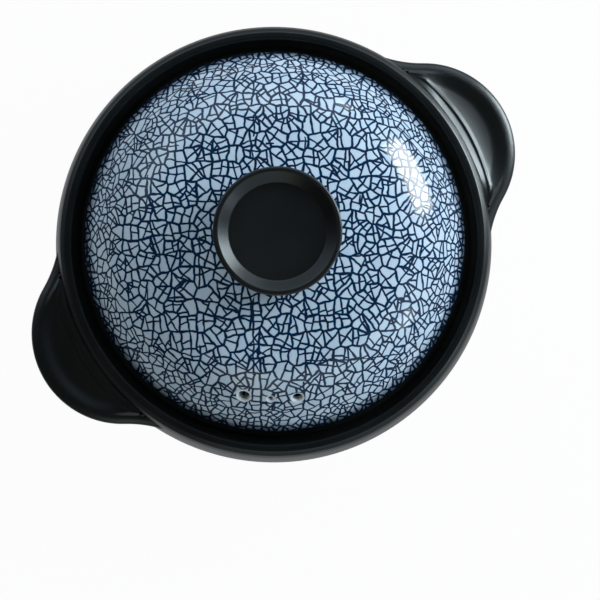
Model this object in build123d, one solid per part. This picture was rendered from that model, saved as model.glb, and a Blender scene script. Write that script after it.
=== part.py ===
from build123d import *
import math
import os

os.makedirs("parts", exist_ok=True)

# A clay casserole pot with two ear handles and a domed lid, in millimetres.
# The origin is the middle of the foot, +Z is up and the handles point along X.

# Bowl
pot_height = 101.0
belly_radius = 110.0
belly_drop = 31.0  # the widest line is this far below the rim
rim_lean = 4.7  # the rim is this far inside the widest line
wall = 6.5
floor = 8.0
foot_radius = 50.0
foot_width = 8.0
foot_height = 1.0
foot_hollow = 2.5
foot_round = 0.5
base_inset = 3.0  # the bowl starts to curve up this far inside the foot

# Rim, and the ledge inside it that the lid rests on
rim_width = 5.3
rim_round = 2.2
ledge_depth = 8.0
ledge_width = 11.0
gallery_lean = 4.0
gallery_round = 1.5
ledge_lip = 2.5
ledge_cove = 12.0
ledge_round = 1.0

# Lid
lid_gap = 2.4
lid_wall = 6.0
crown_radius = 320.0
shoulder_radius = 47.0
skirt_height = 15.2
skirt_slope = 54.0
lid_edge = 4.5
lid_edge_round = 3.0
lid_foot_round = 1.2
seat_inset = 1.6
seat_width = 5.5
seat_round = 0.5

# Steam holes
hole_diameter = 4.6
hole_inset = 5.1  # inside the top of the skirt
hole_spacing = 9.6
hole_bearing = -122.8  # the middle hole, turned from the right handle

# Knob
knob_radius = 29.8
knob_height = 25.3
knob_neck_height = 11.0
knob_foot_inset = 5.2
knob_neck_inset = 2.9
knob_band_inset = 1.1
knob_lip = 2.4
knob_bevel = 4.7
knob_recess = 4.5
knob_round = 1.1
knob_step_round = 0.6

# Ear handles
lug_proud = 22.8  # how far an ear stands out from the widest line
lug_drop = 8.6  # how far its top is below the rim
lug_radius = 45.0
lug_web = 60.0
lug_edge = 6.4
lug_crown = 4.3
lug_dish = 1.8
lug_dish_run = 8.0
lug_rise = 4.8  # its top climbs again by this much, from the dish to the middle of the ear's arc
lug_tilt = 3.0  # the whole ear also leans down outward by this many degrees
lug_flare = 4.0
lug_run = 16.0
lug_run_drop = 13.6
lug_root = 24.5
lug_root_drop = 24.0
lug_top_share = 0.65  # of the crown, taken by the round at its edge
lug_under_round = 2.4
lug_soft_round = 8.0
lug_sink = 1.5

overrun = 5.0

belly_height = pot_height - belly_drop
base_radius = foot_radius - base_inset
rim_radius = belly_radius - rim_lean
gallery_radius = rim_radius - rim_width - gallery_lean
ledge_radius = gallery_radius - ledge_width
ledge_height = pot_height - ledge_depth
lid_radius = gallery_radius - lid_gap
seat_radius = lid_radius - seat_inset
seat_inner = seat_radius - seat_width
seat_top = pot_height - lid_edge
knob_foot_radius = knob_radius - knob_foot_inset
lug_reach = belly_radius + lug_proud
lug_top = pot_height - lug_drop


def rounded(face, corners):
    """The face with each named corner rounded. corners holds ((x, y), radius) pairs."""
    for place, radius in corners:
        corner = face.vertices().sort_by_distance((*place, 0))[0]
        face = fillet(corner, radius)
    return face


def turned(face):
    """A body of revolution about the pot's axis from a face drawn as radius and height."""
    return revolve(Plane.XZ * face, axis=Axis.Z)


def arc_between(centre, radius, first, last):
    """A circular arc about a centre, from one angle in degrees to another."""
    return CenterArc(centre, radius, first, last - first)


# The upper wall is one arc that leaves the belly upright and leans in to the rim
upper_radius = (rim_lean**2 + belly_drop**2) / (2 * rim_lean)
upper_centre = (belly_radius - upper_radius, belly_height)


def base_curve_height(radius):
    """Height of the bowl's underside at a radius between the flat base and the belly."""
    across = (radius - base_radius) / (belly_radius - base_radius)
    depth = belly_height - foot_height
    return belly_height - depth * math.sqrt(1 - max(across, 0) ** 2)


def outer_wall_edges():
    """The bowl's outside, from its flat underside up to the rim."""
    top_angle = math.degrees(math.asin(belly_drop / upper_radius))
    bowl = EllipticalCenterArc(
        (base_radius, belly_height),
        belly_radius - base_radius,
        belly_height - foot_height,
        start_angle=270,
        arc_size=90,
    )
    return bowl + arc_between(upper_centre, upper_radius, 0, top_angle)


def filled_pot():
    """The pot's outer form as if it were solid, for cutting the handles to its wall."""
    edges = outer_wall_edges()
    edges += Polyline(
        (rim_radius, pot_height),
        (0, pot_height),
        (0, foot_height),
        (base_radius, foot_height),
    )
    return turned(make_face(edges))


def pot_body():
    """The bowl with its foot, its raised rim and the ledge for the lid."""
    inner_foot = foot_radius - foot_width
    cove_height = ledge_height - ledge_lip - ledge_cove
    inner_radius = upper_radius - wall
    cove_angle = math.degrees(math.asin((cove_height - belly_height) / inner_radius))
    cove_radius = upper_centre[0] + inner_radius * math.cos(math.radians(cove_angle))
    edges = outer_wall_edges()
    edges += Polyline(
        (rim_radius, pot_height),
        (rim_radius - rim_width, pot_height),
        (gallery_radius, ledge_height),
        (ledge_radius, ledge_height),
        (ledge_radius, ledge_height - ledge_lip),
        (cove_radius, cove_height),
    )
    edges += arc_between(upper_centre, inner_radius, cove_angle, 0)
    edges += EllipticalCenterArc(
        (base_radius, belly_height),
        belly_radius - wall - base_radius,
        belly_height - floor,
        start_angle=270,
        arc_size=90,
    )
    edges += Polyline((base_radius, floor), (0, floor), (0, foot_height), (base_radius, foot_height))
    section = make_face(edges)
    section = rounded(
        section,
        [
            ((rim_radius, pot_height), rim_round),
            ((rim_radius - rim_width, pot_height), rim_round),
            ((gallery_radius, ledge_height), gallery_round),
            ((ledge_radius, ledge_height), ledge_round),
            ((ledge_radius, ledge_height - ledge_lip), ledge_round),
        ],
    )
    foot_top = base_curve_height(foot_radius) + foot_height
    ring = make_face(
        Polyline(
            (inner_foot, 0),
            (foot_radius, 0),
            (foot_radius, foot_top),
            (inner_foot, foot_top),
            close=True,
        )
    )
    ring = rounded(ring, [((inner_foot, 0), foot_round), ((foot_radius, 0), foot_round)])
    hollow = make_face(
        Polyline(
            (0, 0),
            (inner_foot, 0),
            (inner_foot, foot_hollow),
            (0, foot_hollow),
            close=True,
        )
    )
    return turned(section + ring - hollow)


# The lid's dome is a flat crown arc, a rounder shoulder arc and a straight skirt, all tangent
skirt_angle = math.radians(skirt_slope)
skirt_top_radius = lid_radius - skirt_height / math.tan(skirt_angle)
hole_circle = skirt_top_radius - hole_inset
shoulder_middle = (
    skirt_top_radius - shoulder_radius * math.sin(skirt_angle),
    pot_height + skirt_height - shoulder_radius * math.cos(skirt_angle),
)
crown_angle = math.asin(shoulder_middle[0] / (crown_radius - shoulder_radius))
crown_middle = shoulder_middle[1] - (crown_radius - shoulder_radius) * math.cos(crown_angle)
knob_seat = crown_middle + math.sqrt(crown_radius**2 - knob_foot_radius**2)


def dome_edges():
    """The lid's upper outline, from the knob's seat out to the edge at rim height."""
    crown_top = 90 - math.degrees(math.asin(knob_foot_radius / crown_radius))
    crown_end = 90 - math.degrees(crown_angle)
    return (
        arc_between((0, crown_middle), crown_radius, crown_top, crown_end)
        + arc_between(shoulder_middle, shoulder_radius, crown_end, 90 - skirt_slope)
        + Line(
            (skirt_top_radius, pot_height + skirt_height),
            (lid_radius, pot_height),
        )
    )


def hollow_edges():
    """The lid's underside: the same arcs one wall lower, then a line to the flange."""
    radius = shoulder_radius - lid_wall
    across = seat_inner - shoulder_middle[0]
    up = seat_top - shoulder_middle[1]
    reach = math.hypot(across, up)
    turn = math.degrees(math.atan2(up, across) + math.acos(radius / reach))
    crown_end = 90 - math.degrees(crown_angle)
    touch = (
        shoulder_middle[0] + radius * math.cos(math.radians(turn)),
        shoulder_middle[1] + radius * math.sin(math.radians(turn)),
    )
    return (
        Line((seat_inner, seat_top), touch)
        + arc_between(shoulder_middle, radius, turn, crown_end)
        + arc_between((0, crown_middle), crown_radius - lid_wall, crown_end, 90)
    )


def steam_hole(bearing):
    """A drill through the dome, square to its surface, on the circle of steam holes."""
    slope = math.asin((hole_circle - shoulder_middle[0]) / shoulder_radius)
    height = shoulder_middle[1] + shoulder_radius * math.cos(slope)
    drill = Cylinder(hole_diameter / 2, 2 * (lid_wall + overrun))
    return (
        Rot(0, 0, bearing)
        * Pos(hole_circle, 0, height)
        * Rot(0, math.degrees(slope), 0)
        * drill
    )


def lid_dome():
    """The glazed dome with its rounded edge, its flat flange and the steam holes."""
    edges = dome_edges() + hollow_edges()
    edges += Polyline((lid_radius, pot_height), (lid_radius, seat_top), (seat_inner, seat_top))
    edges += Polyline(
        (0, crown_middle + crown_radius - lid_wall),
        (0, knob_seat),
        (knob_foot_radius, knob_seat),
    )
    section = rounded(
        make_face(edges),
        [
            ((lid_radius, pot_height), lid_edge_round),
            ((lid_radius, seat_top), lid_foot_round),
        ],
    )
    dome = turned(section)
    for step in (-1, 0, 1):
        dome -= steam_hole(hole_bearing + step * hole_spacing)
    return dome


def lid_seat_ring():
    """The bare band under the lid's edge that sits on the pot's ledge."""
    section = make_face(
        Polyline(
            (seat_inner, ledge_height),
            (seat_radius, ledge_height),
            (seat_radius, seat_top),
            (seat_inner, seat_top),
            close=True,
        )
    )
    corners = [((seat_inner, ledge_height), seat_round), ((seat_radius, ledge_height), seat_round)]
    return turned(rounded(section, corners))


def lid_knob():
    """The round knob: a narrow neck, a wide band and a recess in its top."""
    top = knob_seat + knob_height
    recess = top - knob_recess
    inner_lip = knob_radius - knob_lip
    recess_radius = inner_lip - knob_bevel
    neck_top = knob_seat + knob_neck_height
    band_foot = neck_top + knob_step_round
    band_radius = knob_radius - knob_band_inset
    section = make_face(
        Polyline(
            (0, knob_seat),
            (knob_foot_radius, knob_seat),
            (knob_radius - knob_neck_inset, neck_top),
            (band_radius, band_foot),
            (knob_radius, top),
            (inner_lip, top),
            (recess_radius, recess),
            (0, recess),
            close=True,
        )
    )
    section = rounded(
        section,
        [
            ((band_radius, band_foot), knob_step_round),
            ((knob_radius, top), knob_round),
            ((inner_lip, top), knob_round),
            ((recess_radius, recess), knob_round),
        ],
    )
    return turned(section)


# Each handle's outline is an ear arc, with a hollow arc on each side that meets the wall
lug_middle = lug_reach - lug_radius
wall_at_lug = upper_centre[0] + math.sqrt(
    upper_radius**2 - (lug_top - lug_edge / 2 - belly_height) ** 2
)
web_out = wall_at_lug - lug_sink + lug_web
web_reach = lug_radius + lug_web
web_x = (web_out**2 + lug_middle**2 - web_reach**2) / (2 * lug_middle)
web_y = math.sqrt(web_out**2 - web_x**2)


def lug_section(edge, inward):
    """A handle's section at its edge; inward is 1 or -1, the way from the edge to the pot."""

    def point(run, drop):
        return (edge + inward * run, lug_top - drop)

    dish_end = lug_crown + lug_dish_run
    face = make_face(
        Polyline(
            point(0, 0),
            point(lug_crown, 0),
            point(dish_end, lug_dish),
            point(lug_radius, lug_dish - lug_rise),
            point(lug_radius, lug_root_drop),
            point(lug_root, lug_root_drop),
            point(lug_run, lug_run_drop),
            point(0, lug_edge),
            close=True,
        )
    )
    return rounded(
        face,
        [
            (point(0, 0), lug_crown * lug_top_share),
            (point(lug_crown, 0), lug_soft_round),
            (point(dish_end, lug_dish), lug_soft_round),
            (point(lug_run, lug_run_drop), lug_soft_round),
            (point(0, lug_edge), lug_under_round),
        ],
    )


def swung(face, middle, first, last):
    """A face drawn as distance and height, swung about an upright axis between two angles."""
    start = math.radians(first)
    plane = Plane(
        origin=(*middle, 0),
        x_dir=(math.cos(start), math.sin(start), 0),
        z_dir=(math.sin(start), -math.cos(start), 0),
    )
    axis = Axis((*middle, 0), (0, 0, 1))
    return revolve(plane * face, axis=axis, revolution_arc=last - first)


def lug_form(section):
    """The ear and its two hollow sides, each made from section(edge, inward)."""
    spread = math.degrees(math.atan2(web_y, web_x - lug_middle))
    to_pot = math.degrees(math.atan2(web_y, web_x))
    ear = swung(section(lug_radius, -1), (lug_middle, 0), -spread, spread)
    left = swung(section(lug_web, 1), (web_x, web_y), 180 + to_pot, 180 + spread)
    right = swung(section(lug_web, 1), (web_x, -web_y), 180 - spread, 180 - to_pot)
    return ear + left + right


def tilted(form):
    """A handle's form leaned down outward about the tip of its top edge."""
    tip = Pos(lug_reach, 0, lug_top)
    return tip * Rot(0, lug_tilt, 0) * tip.inverse() * form


def flare_limit(edge, inward):
    """The part of a handle's section that the flare to the wall may fill."""
    near = edge + inward * lug_crown
    far = edge + inward * lug_radius
    return make_face(
        Polyline(
            (near, lug_top - lug_edge),
            (far, lug_top - lug_edge),
            (far, lug_top + lug_rise + lug_flare),
            (near, lug_top + lug_rise + lug_flare),
            close=True,
        )
    )


def lug_flare_ring():
    """A ring with a hollow quarter round, which eases the handle's top into the wall."""
    bottom = lug_top - lug_dish + (lug_reach - wall_at_lug) * math.tan(math.radians(lug_tilt))
    top = bottom + lug_flare
    foot = wall_at_lug + lug_flare
    edges = Polyline(
        (foot, bottom),
        (foot, bottom - lug_dish),
        (wall_at_lug - wall, bottom - lug_dish),
        (wall_at_lug - wall, top),
        (wall_at_lug, top),
    )
    edges += arc_between((foot, top), lug_flare, 180, 270)
    return turned(make_face(edges))


def handle():
    """One ear handle on the +X side, cut to the pot's wall."""
    pot = filled_pot()
    ear = tilted(lug_form(lug_section)) - pot
    flare = (lug_flare_ring() & tilted(lug_form(flare_limit))) - pot
    return ear + flare


right_handle = handle()
parts = {
    "pot_body": pot_body(),
    "handle_right": right_handle,
    "handle_left": Rot(0, 0, 180) * right_handle,
    "lid_seat_ring": lid_seat_ring(),
    "lid_dome": lid_dome(),
    "lid_knob": lid_knob(),
}
for name, shape in parts.items():
    export_step(shape, f"parts/{name}.step")
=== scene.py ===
import math

import bpy
from mathutils import Matrix, Vector


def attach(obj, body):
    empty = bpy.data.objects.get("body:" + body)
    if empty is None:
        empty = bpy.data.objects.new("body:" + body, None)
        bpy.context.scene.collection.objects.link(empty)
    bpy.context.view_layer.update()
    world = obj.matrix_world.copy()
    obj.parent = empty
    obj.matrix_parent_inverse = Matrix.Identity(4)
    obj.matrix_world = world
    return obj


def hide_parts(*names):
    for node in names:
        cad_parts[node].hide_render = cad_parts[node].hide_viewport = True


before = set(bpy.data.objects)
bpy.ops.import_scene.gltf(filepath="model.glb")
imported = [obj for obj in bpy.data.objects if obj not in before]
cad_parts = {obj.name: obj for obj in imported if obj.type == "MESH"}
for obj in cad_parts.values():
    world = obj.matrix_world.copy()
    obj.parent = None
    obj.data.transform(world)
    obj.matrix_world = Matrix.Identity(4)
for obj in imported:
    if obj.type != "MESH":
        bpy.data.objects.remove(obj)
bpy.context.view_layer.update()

bpy.ops.object.select_all(action="DESELECT")

MM = 0.001

# Bowl, in millimetres from the middle of the foot
POT_HEIGHT = 101.0
BELLY_RADIUS = 110.0
BELLY_HEIGHT = 70.0
RIM_RADIUS = 105.3
RIM_WIDTH = 5.3
RIM_ROUND = 2.2
RIM_EDGE_ROUND = 1.4
WALL = 6.5
FLOOR = 8.0  # height of the floor inside
FOOT_RADIUS = 50.0
FOOT_WIDTH = 8.0
FOOT_HEIGHT = 1.0
FOOT_HOLLOW = 2.5
FOOT_ROUND = 0.5
BASE_RADIUS = 47.0  # how far out the middle of the lower curve lies
GALLERY_RADIUS = 96.0  # the inside of the rim, round the lid's edge
LEDGE_RADIUS = 85.0
LEDGE_HEIGHT = 93.0
LEDGE_LIP = 2.5
LEDGE_COVE = 12.0  # height of the cove from the ledge down to the wall
LEDGE_ROUND = 1.0

# Lid
LID_RADIUS = 93.6
LID_WALL = 6.0
CROWN_RADIUS = 320.0
SHOULDER_RADIUS = 47.0
SKIRT_HEIGHT = 15.2
SKIRT_SLOPE = math.radians(54)
SEAT_RADIUS = 92.0
SEAT_INNER = 86.5
SEAT_TOP = 96.5
SEAT_ROUND = 0.5
SEAT_BEDDED = 0.3  # how far the bare band reaches into the dome
HOLE_INSET = 5.1  # in from the top of the skirt
HOLES = ((-132.4, 2.5), (-122.8, 1.0), (-113.2, 2.1))  # bearing and open radius

# Knob
KNOB_RADIUS = 29.8
KNOB_HEIGHT = 25.3
KNOB_FOOT = 24.6
KNOB_NECK_RADIUS = 26.9
KNOB_NECK_HEIGHT = 11.0
KNOB_BAND_RADIUS = 28.7
KNOB_BAND_HEIGHT = 11.6
KNOB_LIP = 2.4
KNOB_BEVEL = 7.1
KNOB_RECESS = 4.5
KNOB_ROUND = 1.1
KNOB_BEDDED = 1.0  # how far the knob's foot reaches into the dome

# Ear handles
EAR_REACH = 132.8
EAR_RADIUS = 45.0
EAR_WEB = 60.0  # radius of the hollow side where the ear runs into the wall
EAR_TOP = 92.4  # height of the crown at the tip
EAR_EDGE = 6.4
EAR_TILT = math.tan(math.radians(3))
EAR_BROW = 5.6  # how far in the edge's rounded brow reaches
EAR_BROW_DROP = 3.2
EAR_DISH = 2.1  # how deep the top is dished behind the brow
EAR_CLIMB = 3.9  # how high the top climbs at the wall
EAR_CLIMB_REACH = 15.0
EAR_BEAD = 0.7  # height of the bead along the wall
EAR_BEAD_PLACE = 2.7
EAR_BEAD_WIDTH = 0.8
EAR_LOWER_ROUND = 2.4
EAR_GENTLE = 7.2 / 16.0  # the underside's slope near the edge
EAR_STEEP = 10.4 / 8.5  # and near the wall
EAR_BEND = (12.0, 20.0)  # how far in the one slope turns into the other
EAR_DEPTH = 24.0

# The arcs that the sizes lead to
RIM_LEAN = BELLY_RADIUS - RIM_RADIUS
RIM_RISE = POT_HEIGHT - BELLY_HEIGHT
WALL_ARC = (RIM_LEAN**2 + RIM_RISE**2) / (2 * RIM_LEAN)
WALL_MIDDLE = BELLY_RADIUS - WALL_ARC
SKIRT_TOP = LID_RADIUS - SKIRT_HEIGHT / math.tan(SKIRT_SLOPE)
SHOULDER = (
    SKIRT_TOP - SHOULDER_RADIUS * math.sin(SKIRT_SLOPE),
    POT_HEIGHT + SKIRT_HEIGHT - SHOULDER_RADIUS * math.cos(SKIRT_SLOPE),
)
CROWN_SLOPE = math.asin(SHOULDER[0] / (CROWN_RADIUS - SHOULDER_RADIUS))
CROWN_MIDDLE = SHOULDER[1] - (CROWN_RADIUS - SHOULDER_RADIUS) * math.cos(CROWN_SLOPE)
KNOB_SEAT = CROWN_MIDDLE + math.sqrt(CROWN_RADIUS**2 - KNOB_FOOT**2)
HOLE_RING = SKIRT_TOP - HOLE_INSET
HOLE_SLOPE = math.asin((HOLE_RING - SHOULDER[0]) / SHOULDER_RADIUS)
HOLE_HEIGHT = SHOULDER[1] + SHOULDER_RADIUS * math.cos(HOLE_SLOPE)

# Crackle, in millimetres on the dome
PLATE = 7.3
PLATE_UNEVEN = 0.78
STRIP = 26  # between long cracks
SHEET_TURN = math.radians(30.9)
WANDER = 1.6 * MM
FIRST_TURN, FIRST_SHIFT = 1.9, 1.1  # spread of a plate's first crack, in radians and in place
SECOND_LEAN, SECOND_SHIFT = 0.6, 1.4  # spread of its second cracks, in slope and in place
SECOND_SHARE = 0.86  # share of the half plates that have a second crack
EDGE_HALF, FIRST_HALF, SECOND_HALF, LONG_HALF = 0.57, 0.50, 0.46, 0.42  # half widths
OUT_OF_SIGHT = 5  # how far off a crack is put where there is none

# Glaze and clay colours, in linear light
BLACK, SOFT_BLACK = (0.0026, 0.0036, 0.0036, 1), (0.0046, 0.0056, 0.0056, 1)
BROWN_SPECK = (0.014, 0.013, 0.011, 1)
WORN_FOOT = (0.075, 0.06, 0.048, 1)
NAVY = (0.0014, 0.021, 0.066, 1)
ICE, SNOW = (0.60, 0.745, 0.87, 1), (0.70, 0.825, 0.92, 1)
BLEED = (0.46, 0.63, 0.80, 1)
MIST = (0.68, 0.79, 0.87, 1)
# Thick glaze round the steam holes, painted near white as a highlight on the holes' rims
THICK_GLAZE_AND_GLINT = (0.82, 0.88, 0.90, 1)
# Black of the lid's hem: partly the glaze's own dark edge, partly painted shade
HEM_BLACK_AND_SHADE = (0.002, 0.006, 0.013, 1)
INNER_DARK, INNER_THIN = (0.009, 0.0095, 0.0098, 1), (0.02, 0.019, 0.018, 1)
CLAY_DARK, CLAY_PALE = (0.13, 0.10, 0.078, 1), (0.22, 0.175, 0.135, 1)
SAND = (0.07, 0.055, 0.045, 1)


def arc(middle, radius, first, last, steps):
    """Points on an upright arc between two slopes, in radians out from straight up.

    A radius of two numbers, across and up, makes the arc an oval's.
    """
    across, up = (radius, radius) if isinstance(radius, float) else radius
    slopes = [first + (last - first) * i / steps for i in range(steps + 1)]
    return [(middle[0] + across * math.sin(a), middle[1] + up * math.cos(a)) for a in slopes]


def eased(corners, steps=7):
    """The corners as a line of points, with an arc at each corner that names a radius."""
    line = [corners[0][:2]]
    for before, corner, after in zip(corners, corners[1:], corners[2:]):
        here = Vector(corner[:2])
        if len(corner) < 3:
            line.append(tuple(here))
            continue
        back = (Vector(before[:2]) - here).normalized()
        ahead = (Vector(after[:2]) - here).normalized()
        half = back.angle(ahead) / 2
        middle = here + (back + ahead).normalized() * corner[2] / math.sin(half)
        reach = corner[2] / math.tan(half)
        start = here + back * reach - middle
        end = here + ahead * reach - middle
        for i in range(steps + 1):
            turn = start.angle_signed(end) * i / steps
            line.append(tuple(middle + Matrix.Rotation(-turn, 2) @ start))
    line.append(corners[-1][:2])
    return line


def begun(name, start):
    """A new mesh at the origin, open in edit mode and empty but for one vertex at start."""
    bpy.ops.mesh.primitive_plane_add(size=MM, location=start)
    piece = bpy.context.object
    piece.name = piece.data.name = name
    bpy.ops.object.transform_apply(location=True, rotation=True, scale=True)
    bpy.ops.object.mode_set(mode="EDIT")
    bpy.ops.mesh.merge(type="CENTER")
    return piece


def extruded(points):
    """Extrudes the one selected vertex, which is at the first point, along the rest."""
    for here, there in zip(points, points[1:]):
        bpy.ops.mesh.extrude_vertices_move(TRANSFORM_OT_translate={"value": there - here})


def merged(gap):
    """Merges all points of the open mesh that are less than gap millimetres apart."""
    bpy.ops.mesh.select_all(action="SELECT")
    bpy.ops.mesh.remove_doubles(threshold=gap * MM)


def closed():
    """Turns all faces of the open mesh outward and leaves edit mode."""
    bpy.ops.mesh.select_all(action="SELECT")
    bpy.ops.mesh.normals_make_consistent(inside=False)
    bpy.ops.object.mode_set(mode="OBJECT")


def thrown(name, line, steps=192):
    """A piece turned on the wheel: a half outline spun about the pot's axis."""
    points = [Vector((out, 0, up)) * MM for out, up in line]
    piece = begun(name, points[0])
    extruded(points)
    bpy.ops.mesh.select_all(action="SELECT")
    bpy.ops.mesh.spin(steps=steps, angle=math.tau, center=(0, 0, 0), axis=(0, 0, 1))
    merged(0.005)
    closed()
    return piece


def lofted(name, rows):
    """Closed sections drawn one after another, bridged in their order and closed at both ends."""
    piece = begun(name, rows[0][0])
    for i, row in enumerate(rows):
        if i:
            bpy.ops.mesh.select_all(action="DESELECT")
            bpy.ops.mesh.primitive_plane_add(size=MM, location=row[0])
            bpy.ops.mesh.merge(type="CENTER")
        extruded(row + row[:1])
    merged(0.002)
    bpy.ops.mesh.bridge_edge_loops()
    bpy.ops.mesh.select_all(action="SELECT")
    bpy.ops.mesh.fill_holes(sides=0)
    closed()
    return piece


def finished(piece, body, nodes, materials, angle=35):
    """Smooths a piece and says what it rides on, what it stands for and its finish."""
    bpy.ops.object.select_all(action="DESELECT")
    piece.select_set(True)
    bpy.context.view_layer.objects.active = piece
    bpy.ops.object.shade_smooth_by_angle(angle=math.radians(angle))
    for material in materials:
        piece.data.materials.append(material)
    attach(piece, body)
    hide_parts(*nodes)
    piece.select_set(False)


class Value:
    """A node's output that can be used in sums; each sum adds its Math node."""

    def __init__(self, finish, socket):
        self.finish = finish
        self.socket = socket

    def maths(self, operation, *values):
        return self.finish.node("Math", {"operation": operation}, dict(enumerate(values)))[0]

    def __add__(self, other):
        return self.maths("ADD", self, other)

    def __radd__(self, other):
        return self.maths("ADD", other, self)

    def __sub__(self, other):
        return self.maths("SUBTRACT", self, other)

    def __rsub__(self, other):
        return self.maths("SUBTRACT", other, self)

    def __mul__(self, other):
        return self.maths("MULTIPLY", self, other)

    def __rmul__(self, other):
        return self.maths("MULTIPLY", other, self)

    def __truediv__(self, other):
        return self.maths("DIVIDE", self, other)

    def __rtruediv__(self, other):
        return self.maths("DIVIDE", other, self)

    def __pow__(self, other):
        return self.maths("POWER", self, other)

    def __gt__(self, other):
        return self.maths("GREATER_THAN", self, other)

    def __abs__(self):
        return self.maths("ABSOLUTE", self)

    def least(self, other):
        return self.maths("MINIMUM", self, other)

    def most(self, other):
        return self.maths("MAXIMUM", self, other)

    def blunt(self, other, reach):
        """The lesser of two values, blended where they are within reach of each other."""
        return self.maths("SMOOTH_MIN", self, other, reach)

    def rise(self, low, high):
        """0 below low, 1 above high and a smooth step between; a fall where low is the higher."""
        settings = {"interpolation_type": "SMOOTHSTEP"}
        sockets = {"Value": self, "From Min": low, "From Max": high}
        return self.finish.node("MapRange", settings, sockets)[0]


class Finish:
    """The nodes of a material, or of the world where its tree is given."""

    def __init__(self, name, tree=None):
        if tree is None:
            self.material = bpy.data.materials.new(name)
            self.material.use_nodes = True
            tree = self.material.node_tree
        self.tree = tree
        self.tree.nodes.clear()

    def node(self, kind, settings=None, sockets=None):
        """Adds a node, sets its settings and then its sockets, and returns its outputs."""
        made = self.tree.nodes.new("ShaderNode" + kind)
        for key, value in (settings or {}).items():
            setattr(made, key, value)
        for key, value in (sockets or {}).items():
            if isinstance(value, Value):
                self.tree.links.new(value.socket, made.inputs[key])
            else:
                made.inputs[key].default_value = value
        return [Value(self, output) for output in made.outputs]

    def mixed(self, share, a, b):
        """Colour a turning into colour b as share goes from 0 to 1."""
        settings = {"data_type": "RGBA", "blend_type": "MIX"}
        return self.node("Mix", settings, {0: share, 6: a, 7: b})[2]

    def place(self):
        """Where a point of the surface is on its object."""
        return self.node("TexCoord")[3]

    def parts(self, vector):
        return self.node("SeparateXYZ", {}, {0: vector})

    def turned(self, vector, angle):
        """The vector turned about the upright axis, by an angle in radians."""
        sockets = {"Vector": vector, "Angle": angle}
        return self.node("VectorRotate", {"rotation_type": "Z_AXIS"}, sockets)[0]

    def noise(self, vector, grain, detail=3.0):
        """Soft noise around a half, whose lumps are about grain millimetres across."""
        sockets = {"Vector": vector, "Scale": 1 / (grain * MM), "Detail": detail}
        return self.node("TexNoise", {}, sockets)[0]

    def cells(self, vector, size, uneven):
        """Random cells about size millimetres across.

        Gives each point's distance from an edge, its cell's three chances and its cell's middle.
        """
        sockets = {"Vector": vector, "Scale": 1 / (size * MM), "Randomness": uneven}
        edge = {"voronoi_dimensions": "2D", "feature": "DISTANCE_TO_EDGE"}
        inside = self.node("TexVoronoi", edge, sockets)[0] * size
        cell = self.node("TexVoronoi", {"voronoi_dimensions": "2D"}, sockets)
        return inside, self.parts(cell[1]), cell[2]

    def strips(self, across, width, start):
        """Each point's distance in millimetres from the edge of its strip, cut across one way."""
        sockets = {"W": across / (width * MM) + start, "Scale": 1.0, "Randomness": 0.3}
        edge = {"voronoi_dimensions": "1D", "feature": "DISTANCE_TO_EDGE"}
        return self.node("TexVoronoi", edge, sockets)[0] * width

    def pools_and_glints(self, place):
        """1 where the glaze has run thick round a steam hole, which is also where the highlight on
        its rim is painted.
        """
        gap = 9.0
        for bearing, radius in HOLES:
            turn = math.radians(bearing)
            x, y = HOLE_RING * math.cos(turn), HOLE_RING * math.sin(turn)
            middle = Vector((x, y, HOLE_HEIGHT)) * MM
            away = self.node("VectorMath", {"operation": "DISTANCE"}, {0: place, 1: middle})[1]
            gap = (away / MM - radius).least(gap)
        return 1 - (gap + (self.noise(place, 4) - 0.5) * 2).rise(1.2, 1.6)

    def fired(self, colour, roughness, raised, depth, constants=None):
        """The material, its surface raised by raised times depth millimetres."""
        bump = {"Height": raised, "Distance": depth * MM, "Strength": 1.0}
        sockets = {
            "Base Color": colour,
            "Roughness": roughness,
            "Normal": self.node("Bump", {}, bump)[0],
            **(constants or {}),
        }
        return self.out(self.node("BsdfPrincipled", {}, sockets)[0])

    def out(self, shader):
        self.node("OutputMaterial", {}, {"Surface": shader})
        return self.material


def black_glaze(name, rough):
    """Black glaze: nearly neutral, brown specks, a fine grain, and worn off under the foot."""
    f = Finish(name)
    place = f.place()
    _, _, z = f.parts(place)
    cloud = f.noise(place, 26, 4.0)
    grain = f.noise(place, 1.1, 2.0)
    peel = f.noise(place, 3.5, 2.0)
    bare = 1 - (z + f.noise(place, 6) * (0.4 * MM)).rise(0.4 * MM, 1.1 * MM)
    colour = f.mixed(cloud.rise(0.3, 0.7), BLACK, SOFT_BLACK)
    colour = f.mixed(grain.rise(0.62, 0.72) * 0.4, colour, BROWN_SPECK)
    colour = f.mixed(bare, colour, WORN_FOOT)
    roughness = rough + (cloud - 0.5) * 0.1 + (grain - 0.5) * 0.06 + bare * 0.4
    gloss = {"IOR": 1.62, "Specular Tint": (0.88, 0.97, 1.0, 1)}
    return f.fired(colour, roughness, peel * 0.6 + grain * 0.4, 0.05, gloss)


def glaze_sheet(f):
    """The dome's glaze rolled out flat, and made to wander so that no crack is quite straight."""
    sheet = f.node("Attribute", {"attribute_name": "unrolled"})[1]
    soft = {"Vector": sheet, "Scale": 190.0, "Detail": 1.0}
    wander = f.node("TexNoise", {"noise_dimensions": "2D"}, soft)[1]
    spread = {0: wander, 1: (WANDER, WANDER, 0), 2: sheet}
    sheet = f.node("VectorMath", {"operation": "MULTIPLY_ADD"}, spread)[0]
    return f.turned(sheet, SHEET_TURN)


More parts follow.
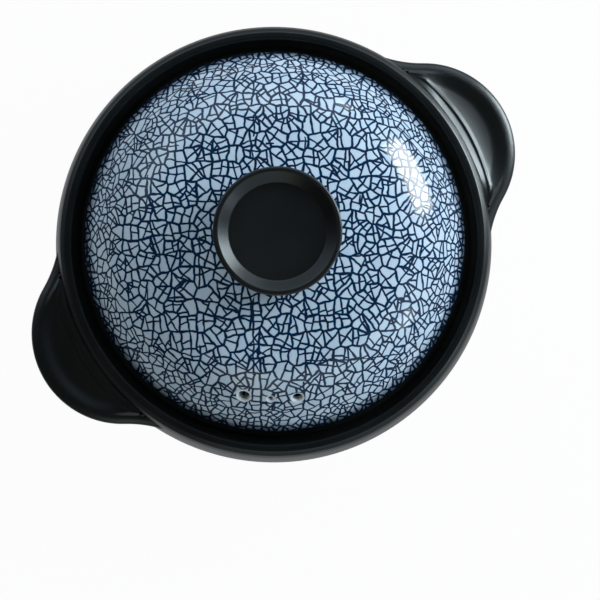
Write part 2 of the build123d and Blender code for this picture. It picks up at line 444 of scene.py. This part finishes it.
def crack_net(f, sheet, place):
    """Each point's distance in millimetres from the side of the nearest crack, and a chance."""
    # One crack runs right across each plate, and one from either side ends on it
    plate, chance, middle = f.cells(sheet, PLATE, PLATE_UNEVEN)
    away = f.node("VectorMath", {"operation": "SUBTRACT"}, {0: sheet, 1: middle})[0]
    across, along, _ = f.parts(f.turned(away, (chance[0] - 0.5) * FIRST_TURN))
    first = across / MM + (chance[1] - 0.5) * FIRST_SHIFT
    side = first > 0
    half = {"W": chance[2] * 83 + side * 7}
    fate = f.parts(f.node("TexWhiteNoise", {"noise_dimensions": "1D"}, half)[1])
    second = along / MM + first * (fate[0] - 0.5) * SECOND_LEAN
    second = abs(second + (fate[1] - 0.5) * SECOND_SHIFT)
    second = second + (fate[2] > SECOND_SHARE) * OUT_OF_SIGHT

    # A few long straight cracks run on across the plates
    side_way, far, _ = f.parts(sheet)
    broken = f.noise(sheet, 24, 1.0)
    long_one = f.strips(side_way, STRIP, 17.1) + broken.rise(0.42, 0.44) * OUT_OF_SIGHT
    long_two = f.strips(far, STRIP, 39.9) + (1 - broken).rise(0.42, 0.44) * OUT_OF_SIGHT

    wide = 0.14 * (f.noise(place, 7) - 0.5)
    near = (plate - EDGE_HALF - wide).blunt(abs(first) - FIRST_HALF - wide, 0.3)
    near = near.blunt(second - SECOND_HALF - wide, 0.3)
    return near.blunt(long_one.least(long_two) - LONG_HALF, 0.2), fate[0]


def crackle_glaze():
    """Pale blue glaze with a navy net of cracks, black at the lid's hem, where part of the black
    is painted shade.
    """
    f = Finish("crackle_glaze")
    place = f.place()
    _, _, z = f.parts(place)
    near, chance = crack_net(f, glaze_sheet(f), place)
    # Black at the hem: the glaze's dark edge with denser cracks, with painted shade of the steep
    # edge on top
    hem_and_shade = 1 - (z + (f.noise(place, 4) - 0.5) * (3 * MM)).rise(100 * MM, 109.5 * MM)
    near = near - hem_and_shade * 0.3
    # The thick glaze round the steam holes hides the cracks and is painted near white as a
    # highlight on the holes' rims
    pool_and_glint = f.pools_and_glints(place)
    crack = (1 - near.rise(-0.12, 0.14)) * (1 - pool_and_glint)

    pale = f.mixed(chance, ICE, SNOW)
    pale = f.mixed(near.rise(1.1, 0.05) * 0.3, pale, BLEED)
    pale = f.mixed(f.noise(place, 28).rise(0.4, 0.7) * 0.4, pale, MIST)
    pale = f.mixed(pool_and_glint, pale, THICK_GLAZE_AND_GLINT)
    colour = f.mixed(hem_and_shade, f.mixed(crack, pale, NAVY), HEM_BLACK_AND_SHADE)
    roughness = 0.07 + crack * 0.05 + f.noise(place, 4) * 0.05
    raised = f.noise(place, 9) * 0.6 + f.noise(place, 2.4) * 0.14 - crack * 0.2
    return f.fired(colour, roughness, raised, 0.12, {"Specular IOR Level": 0.45})


def inner_glaze():
    """The lid's underside: the same black glaze, thinner and duller."""
    f = Finish("inner_glaze")
    place = f.place()
    cloud = f.noise(place, 20, 4.0)
    grain = f.noise(place, 1.3, 2.0)
    colour = f.mixed(cloud.rise(0.3, 0.7), INNER_DARK, INNER_THIN)
    return f.fired(colour, 0.42 + cloud * 0.15, grain, 0.06)


def bare_clay():
    """Unglazed clay: warm grey-brown with sand grains."""
    f = Finish("bare_clay")
    place = f.place()
    cloud = f.noise(place, 14, 5.0)
    sand = f.noise(place, 0.7, 2.0)
    colour = f.mixed(cloud.rise(0.3, 0.7), CLAY_DARK, CLAY_PALE)
    colour = f.mixed(sand.rise(0.6, 0.68), colour, SAND)
    return f.fired(colour, 0.8 + sand * 0.15, sand, 0.15)


def pot_outline():
    """The bowl's half outline, from the middle of its underside round the rim to its floor."""
    upright = math.pi / 2
    inner_foot = FOOT_RADIUS - FOOT_WIDTH
    foot_turn = math.pi - math.asin((FOOT_RADIUS - BASE_RADIUS) / (BELLY_RADIUS - BASE_RADIUS))
    bowl = (BELLY_RADIUS - BASE_RADIUS, BELLY_HEIGHT - FOOT_HEIGHT)
    outside = arc((BASE_RADIUS, BELLY_HEIGHT), bowl, foot_turn, upright, 44)
    top_turn = upright - math.asin((RIM_RISE - 4) / WALL_ARC)
    outside += arc((WALL_MIDDLE, BELLY_HEIGHT), WALL_ARC, upright, top_turn, 16)[1:]
    cove = LEDGE_HEIGHT - LEDGE_LIP - LEDGE_COVE
    cove_turn = upright - math.asin((cove - BELLY_HEIGHT) / (WALL_ARC - WALL))
    inside = arc((WALL_MIDDLE, BELLY_HEIGHT), WALL_ARC - WALL, cove_turn, upright, 8)
    hollow = (BELLY_RADIUS - WALL - BASE_RADIUS, BELLY_HEIGHT - FLOOR)
    inside += arc((BASE_RADIUS, BELLY_HEIGHT), hollow, upright, math.pi, 40)[1:]
    foot = eased(
        [
            (0.0, FOOT_HOLLOW),
            (inner_foot, FOOT_HOLLOW, 0.8),
            (inner_foot, 0.0, FOOT_ROUND),
            (FOOT_RADIUS, 0.0, FOOT_ROUND),
            outside[0],
        ],
        4,
    )
    rim = eased(
        [
            outside[-1],
            (RIM_RADIUS + 0.2, POT_HEIGHT - 2.1, RIM_EDGE_ROUND),
            (RIM_RADIUS - 1.9, POT_HEIGHT, RIM_EDGE_ROUND),
            (RIM_RADIUS - RIM_WIDTH, POT_HEIGHT, RIM_ROUND),
            (GALLERY_RADIUS, LEDGE_HEIGHT, 1.5),
            (LEDGE_RADIUS, LEDGE_HEIGHT, LEDGE_ROUND),
            (LEDGE_RADIUS, LEDGE_HEIGHT - LEDGE_LIP, LEDGE_ROUND),
            inside[0],
        ]
    )
    return foot[:-1] + outside[:-1] + rim[:-1] + inside + [(0.0, FLOOR)]


def dome_outline():
    """The lid's half outline, from the knob's seat over the shoulder and back along the hollow."""
    start = math.asin(KNOB_FOOT / CROWN_RADIUS)
    crown = (0.0, CROWN_MIDDLE)
    top = arc(crown, CROWN_RADIUS, start, CROWN_SLOPE, 14)
    top += arc(SHOULDER, SHOULDER_RADIUS, CROWN_SLOPE, SKIRT_SLOPE, 30)[1:]
    skirt = Vector((LID_RADIUS, POT_HEIGHT)) - Vector(top[-1])
    top += [tuple(Vector(top[-1]) + skirt * i / 10) for i in range(1, 8)]
    inner = SHOULDER_RADIUS - LID_WALL
    across, up = SEAT_INNER - SHOULDER[0], SEAT_TOP - SHOULDER[1]
    touch = math.pi / 2 - math.atan2(up, across) - math.acos(inner / math.hypot(across, up))
    hollow = arc(SHOULDER, inner, touch, CROWN_SLOPE, 18)
    hollow += arc(crown, CROWN_RADIUS - LID_WALL, CROWN_SLOPE, 0, 12)[1:]
    edge = eased(
        [
            top[-1],
            (LID_RADIUS, POT_HEIGHT, 3.0),
            (LID_RADIUS, SEAT_TOP, 1.2),
            (SEAT_INNER, SEAT_TOP),
            hollow[0],
        ]
    )
    return [(0.0, KNOB_SEAT)] + top[:-1] + edge[:-1] + hollow


def steam_hole_cutter(radius):
    """A drill with a flared collar, so that the glaze rounds into the hole."""
    flare, below, above = 1.5, 14.0, 5.0
    wide = radius + flare
    collar = arc((wide, -flare), flare, -math.pi / 2, 0, 8)
    line = [(0.0, -below), (radius, -below)] + collar + [(wide, above), (0.0, above)]
    return thrown("steam_hole_cutter", line, 32)


def drilled(dome):
    """Cuts the steam holes square to the shoulder and leaves the dome selected."""
    for bearing, radius in HOLES:
        cutter = steam_hole_cutter(radius)
        turn = Matrix.Rotation(math.radians(bearing), 4, "Z")
        move = Matrix.Translation(Vector((HOLE_RING, 0, HOLE_HEIGHT)) * MM)
        cutter.matrix_world = turn @ move @ Matrix.Rotation(HOLE_SLOPE, 4, "Y")
        bpy.ops.object.select_all(action="DESELECT")
        dome.select_set(True)
        bpy.context.view_layer.objects.active = dome
        cut = dome.modifiers.new("hole", "BOOLEAN")
        cut.operation, cut.solver, cut.object = "DIFFERENCE", "EXACT", cutter
        bpy.ops.object.modifier_apply(modifier="hole")
        bpy.data.objects.remove(cutter)


def unrolled(dome):
    """Stores each point's place on the dome as if the glaze were rolled out from the top."""
    layer = dome.data.attributes.new("unrolled", "FLOAT_VECTOR", "POINT")
    crown_reach = CROWN_RADIUS * CROWN_SLOPE
    shoulder_reach = crown_reach + SHOULDER_RADIUS * (SKIRT_SLOPE - CROWN_SLOPE)
    for vertex, stored in zip(dome.data.vertices, layer.data):
        x, y, z = vertex.co / MM
        out = math.hypot(x, y)
        slope = math.atan2(out - SHOULDER[0], z - SHOULDER[1])
        if slope < CROWN_SLOPE:
            reach = CROWN_RADIUS * math.atan2(out, z - CROWN_MIDDLE)
        elif slope < SKIRT_SLOPE:
            reach = crown_reach + SHOULDER_RADIUS * (slope - CROWN_SLOPE)
        else:
            reach = shoulder_reach + math.hypot(out - SKIRT_TOP, z - POT_HEIGHT - SKIRT_HEIGHT)
        share = reach / out * MM if out > 0 else 0
        stored.vector = (x * share, y * share, 0)


def lined(dome):
    """Gives the lid's hollow and the underside of its edge the second material."""
    for face in dome.data.polygons:
        middle = face.center / MM
        under = face.normal.z < -0.1 and middle.z < POT_HEIGHT
        hollow = face.normal.z < -0.02 and math.hypot(middle.x, middle.y) < SEAT_INNER + 1
        if under or hollow:
            face.material_index = 1


def knob_outline():
    """The knob's half outline: foot, flared neck, band, lip, bevel and the flat recess."""
    top = KNOB_SEAT + KNOB_HEIGHT
    return eased(
        [
            (0.0, KNOB_SEAT - KNOB_BEDDED),
            (KNOB_FOOT, KNOB_SEAT - KNOB_BEDDED),
            (KNOB_FOOT + 0.2, KNOB_SEAT + 1.0),
            (KNOB_NECK_RADIUS, KNOB_SEAT + KNOB_NECK_HEIGHT, 0.5),
            (KNOB_BAND_RADIUS, KNOB_SEAT + KNOB_BAND_HEIGHT, 0.6),
            (KNOB_RADIUS, top, KNOB_ROUND),
            (KNOB_RADIUS - KNOB_LIP, top, KNOB_ROUND),
            (KNOB_RADIUS - KNOB_BEVEL, top - KNOB_RECESS, KNOB_ROUND),
            (0.0, top - KNOB_RECESS),
        ]
    )


def seat_outline():
    """The bare band's section."""
    top = SEAT_TOP + SEAT_BEDDED
    return eased(
        [
            (SEAT_INNER + 2.0, top),
            (SEAT_INNER, top),
            (SEAT_INNER, LEDGE_HEIGHT, SEAT_ROUND),
            (SEAT_RADIUS, LEDGE_HEIGHT, SEAT_ROUND),
            (SEAT_RADIUS, top),
            (SEAT_INNER + 2.0, top),
        ]
    )


def smooth(value):
    """0 up to 0, 1 from 1 on and a smooth step between them."""
    value = min(max(value, 0.0), 1.0)
    return value * value * (3 - 2 * value)


def ear_top(run, to_wall, width):
    """How far the ear's top lies under its crown, run in from its edge, to_wall from the pot."""
    dish = EAR_DISH * smooth((run - EAR_BROW + 1.5) / 8.0) * smooth((width - 6.0) / 14.0)
    near_wall = max(EAR_CLIMB_REACH - to_wall, 0.0) / EAR_CLIMB_REACH
    climb = EAR_CLIMB * near_wall**1.7 * smooth(width / 18.0)
    off_bead = (to_wall - EAR_BEAD_PLACE) / EAR_BEAD_WIDTH
    bead = EAR_BEAD * math.exp(-(off_bead**2)) * smooth(width / 12.0)
    return dish - climb - bead


def ear_under(run):
    """How far the ear's underside lies under its crown: a gentle slope that bends down."""
    start, end = EAR_BEND
    middle = (start + end) / 2
    if run < start:
        return EAR_EDGE + EAR_GENTLE * run
    if run < end:
        bend = (EAR_STEEP - EAR_GENTLE) * (run - start) ** 2 / (2 * (end - start))
        return EAR_EDGE + EAR_GENTLE * run + bend
    return min(EAR_EDGE + EAR_GENTLE * middle + EAR_STEEP * (run - middle), EAR_DEPTH)


def ear_section(run_to_wall):
    """One section as (run, height), from the wall over the top and the edge back to the wall."""
    end = run_to_wall + 2.0
    points = [(end, -ear_top(end, -2.0, run_to_wall))]
    top_steps, brow_steps, lower_steps, under_steps = 44, 10, 6, 18
    for i in range(1, top_steps + 1):
        run = end + (EAR_BROW - end) * i / top_steps
        points.append((run, -ear_top(run, run_to_wall - run, run_to_wall)))
    for i in range(1, brow_steps + 1):
        turn = math.pi / 2 * i / brow_steps
        points.append((EAR_BROW * (1 - math.sin(turn)), EAR_BROW_DROP * (math.cos(turn) - 1)))
    lower, foot = EAR_LOWER_ROUND, -EAR_EDGE - 0.9
    for i in range(lower_steps + 1):
        turn = math.pi / 2 * i / lower_steps
        points.append((lower - lower * math.cos(turn), foot + lower - lower * math.sin(turn)))
    for i in range(1, under_steps):
        run = lower + (end - lower) * i / under_steps
        points.append((run, -ear_under(run)))
    inside = [point for point in points[1:] if point[0] < end]
    return points[:1] + inside + [(end, -ear_under(end))]


def ear_rows():
    """The ear's sections, square to its outline: round a hollow side, the ear, the other side."""
    middle = EAR_REACH - EAR_RADIUS
    wall_height = EAR_TOP - EAR_EDGE / 2 - BELLY_HEIGHT
    wall = WALL_MIDDLE + math.sqrt(WALL_ARC**2 - wall_height**2)
    out = wall - 1.5 + EAR_WEB
    web_x = (out**2 + middle**2 - (EAR_RADIUS + EAR_WEB) ** 2) / (2 * middle)
    web_y = math.sqrt(out**2 - web_x**2)
    spread = math.atan2(web_y, web_x - middle)
    to_pot = math.atan2(web_y, web_x)
    side_steps, ear_steps = 12, 40
    rows = []

    def add(centre, turn, sign, radius):
        ahead = Vector((math.cos(turn), math.sin(turn)))
        along = centre.dot(ahead)
        root = math.sqrt(max(along**2 - centre.dot(centre) + wall**2, 0.0))
        reach = -along + root if sign < 0 else -along - root
        row = []
        for run, height in ear_section(max((reach - radius) * sign, 0.0)):
            x, y = centre + ahead * (radius + sign * run)
            row.append(Vector((x, y, EAR_TOP + height + (EAR_REACH - x) * EAR_TILT)) * MM)
        rows.append(row)

    for i in range(side_steps):
        turn = math.pi - to_pot + (to_pot - spread) * i / side_steps
        add(Vector((web_x, -web_y)), turn, 1, EAR_WEB)
    for i in range(ear_steps + 1):
        add(Vector((middle, 0)), -spread + 2 * spread * i / ear_steps, -1, EAR_RADIUS)
    for i in range(1, side_steps + 1):
        turn = math.pi + spread + (to_pot - spread) * i / side_steps
        add(Vector((web_x, web_y)), turn, 1, EAR_WEB)
    return rows


glaze = black_glaze("black_glaze", 0.36)
satin = black_glaze("black_glaze_satin", 0.4)
crackle = crackle_glaze()
lining = inner_glaze()
clay = bare_clay()

bowl = thrown("pot_bowl", pot_outline())
finished(bowl, "pot", ["pot_body"], [glaze])

ear = lofted("ear_right", ear_rows())
twin = ear.copy()
twin.data = ear.data.copy()
twin.name = twin.data.name = "ear_left"
bpy.context.scene.collection.objects.link(twin)
twin.data.transform(Matrix.Rotation(math.pi, 4, "Z"))
finished(ear, "pot", ["handle_right"], [glaze], 50)
finished(twin, "pot", ["handle_left"], [glaze], 50)

seat = thrown("lid_seat_band", seat_outline())
finished(seat, "lid_seat", ["lid_seat_ring"], [clay])

dome = thrown("lid_crackle_dome", dome_outline(), 240)
drilled(dome)
unrolled(dome)
finished(dome, "lid", ["lid_dome"], [crackle, lining])
lined(dome)

knob = thrown("lid_knob_turned", knob_outline(), 160)
finished(knob, "lid", ["lid_knob"], [satin])


def white_floor():
    """A white floor with the pot's shadow, dimmer in reflections and there lightest by the pot."""
    f = Finish("floor_white")
    path = f.node("LightPath")
    camera_ray, glossy_ray, transmission_ray = path[0], path[3], path[6]
    seen = camera_ray.most(glossy_ray).most(transmission_ray)
    card = f.node("BsdfDiffuse", {}, {"Color": (0.82, 0.82, 0.82, 1)})[0]
    x, y, _ = f.parts(f.place())
    near = 1 - (x * x + y * y).rise(0.07, 0.13)
    mirrored = f.mixed(near, (0.14, 0.15, 0.16, 1), (0.55, 0.56, 0.57, 1))
    pale = f.mixed(glossy_ray, (1, 1, 1, 1), mirrored)
    glow = f.node("Emission", {}, {"Color": pale, "Strength": 1.0})[0]
    return f.out(f.node("MixShader", {}, {0: seen * 0.965, 1: card, 2: glow})[0])


bpy.ops.mesh.primitive_plane_add(size=8, location=(0, 0, -0.2 * MM))
ground = bpy.context.object
ground.name = "floor"
ground.data.materials.append(white_floor())

WINDOW = -8.0  # the window's bearing, in degrees
DAYLIGHT = (0.76, 0.88, 1.0)
PANE = (0.9, 0.97, 1.0)
LID_CENTRE = Vector((0, 0, 110)) * MM


def studio():
    """A dim room: pale walls to both sides of the window, a dark zenith, white to the camera."""
    world = bpy.data.worlds.new("studio")
    bpy.context.scene.world = world
    world.use_nodes = True
    f = Finish("studio", world.node_tree)
    ahead = f.node("TexCoord")[0]
    _, _, up = f.parts(ahead)
    flat = (1 - up * up).most(0.0004) ** 0.5

    def facing(bearing):
        """1 in the quarter of the sky around a bearing, fading out to its sides."""
        turn = math.radians(bearing)
        way = (math.cos(turn), math.sin(turn), 0)
        dot = f.node("VectorMath", {"operation": "DOT_PRODUCT"}, {0: ahead, 1: way})[1]
        return (dot / flat).rise(0.5, 0.8)

    walls = facing(WINDOW) * 0.15 + facing(WINDOW + 86) * 1.75 + facing(WINDOW - 82) * 1.2
    walls = walls * (0.55 + up.rise(0.1, 0.45) * 0.7)
    walls = walls + facing(WINDOW + 190) * 0.12 * up.rise(0.15, 0.35)
    ceiling = facing(WINDOW + 35) * 0.3 + 0.035
    zenith = 0.05
    level = walls + up.rise(0.6, 0.66) * (ceiling - walls)
    level = level + up.rise(0.82, 0.9) * (zenith - level)
    path = f.node("LightPath")
    camera_ray, glossy_ray, transmission_ray = path[0], path[3], path[6]
    level = level * (1 - glossy_ray * 0.35)
    cool, warm = (0.80, 0.90, 1.0, 1), (1.0, 0.96, 0.76, 1)
    tint = f.mixed(facing(WINDOW + 195), cool, warm)
    sky = f.node("Background", {}, {"Color": tint, "Strength": level})[0]
    white = f.node("Background", {}, {"Color": (1, 1, 1, 1), "Strength": 1.0})[0]
    seen = camera_ray.most(transmission_ray * (1 - up.rise(0.0, 0.05)))
    mix = f.node("MixShader", {}, {0: seen, 1: sky, 2: white})[0]
    f.node("OutputWorld", {}, {"Surface": mix})


def lamp(name, bearing, height, distance, size, power, colour):
    """A soft box that faces the lid, at a bearing and a height in degrees as seen from there."""
    turn, lift = math.radians(bearing), math.radians(height)
    out = math.cos(lift)
    way = Vector((out * math.cos(turn), out * math.sin(turn), math.sin(lift)))
    light = bpy.data.lights.new(name, "AREA")
    light.shape, light.size, light.size_y = "RECTANGLE", *size
    light.energy, light.color = power, colour
    made = bpy.data.objects.new(name, light)
    made.location = LID_CENTRE + way * distance
    made.rotation_euler = way.to_track_quat("Z", "Y").to_euler()
    bpy.context.scene.collection.objects.link(made)
    return made


studio()
lamp("window_low", WINDOW, 12, 1.3, (0.66, 0.5), 1.0, DAYLIGHT)
high = lamp("window_high", WINDOW, 36, 1.3, (0.66, 0.4), 10.5, DAYLIGHT)
high.visible_glossy = False
panes = [
    lamp("window_pane", WINDOW + 5, 12, 1.25, (0.6, 0.66), 19, PANE),
    lamp("window_side_pane", WINDOW + 41, 11.5, 1.25, (0.14, 0.2), 0.45, PANE),
    lamp("window_far_pane", WINDOW - 51, 11, 1.25, (0.16, 0.34), 0.8, PANE),
]
for pane in panes:
    pane.visible_diffuse = False

view = bpy.data.cameras.new("photo_view")
view.sensor_width, view.lens = 36.0, 108.0
view.clip_start, view.clip_end = 0.01, 50.0
camera = bpy.data.objects.new("photo_view", view)
camera.location = Vector((-47.1, -48.1, 983.4)) * MM
camera.rotation_euler = [math.radians(a) for a in (2.36, -1.81, -30.91)]
bpy.context.scene.collection.objects.link(camera)
bpy.context.scene.camera = camera
bpy.context.scene.view_settings.view_transform = "Standard"
